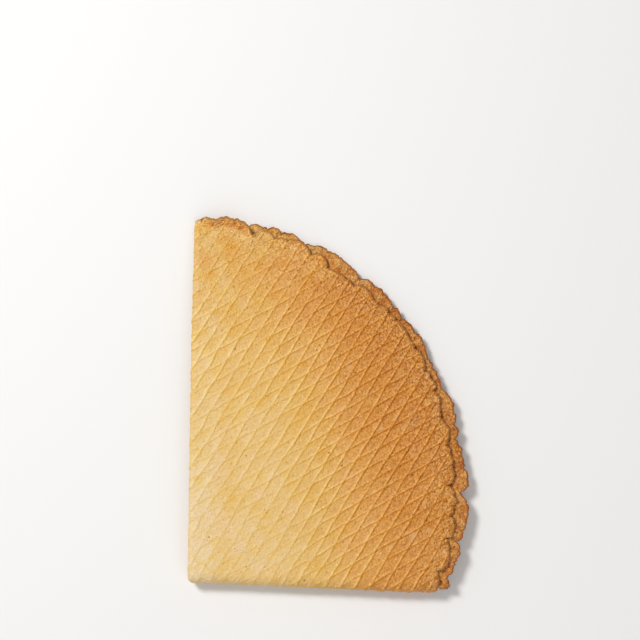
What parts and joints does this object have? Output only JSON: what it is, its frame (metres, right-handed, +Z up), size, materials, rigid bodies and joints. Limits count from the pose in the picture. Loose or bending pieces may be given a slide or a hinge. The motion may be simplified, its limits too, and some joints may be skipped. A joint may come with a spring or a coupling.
{
  "type": "folded wafer cookie",
  "caption": "Thin round ridged wafer folded in half and folded again across, lying flat, with a crumbly browned rim.",
  "frame": {"origin": "centre of the footprint, on the surface that the cookie lies on", "axes": "+Z up through the patterned face, +Y along the long fold towards the far rim, long fold on the -X side, short fold on the -Y side"},
  "size_m": [0.1292, 0.1752, 0.0113],
  "materials": {
    "wafer": "matt golden baked wafer, browner towards the rim"
  },
  "bodies": {
    "root": {"wafer": "wafer"}
  },
  "joints": []
}
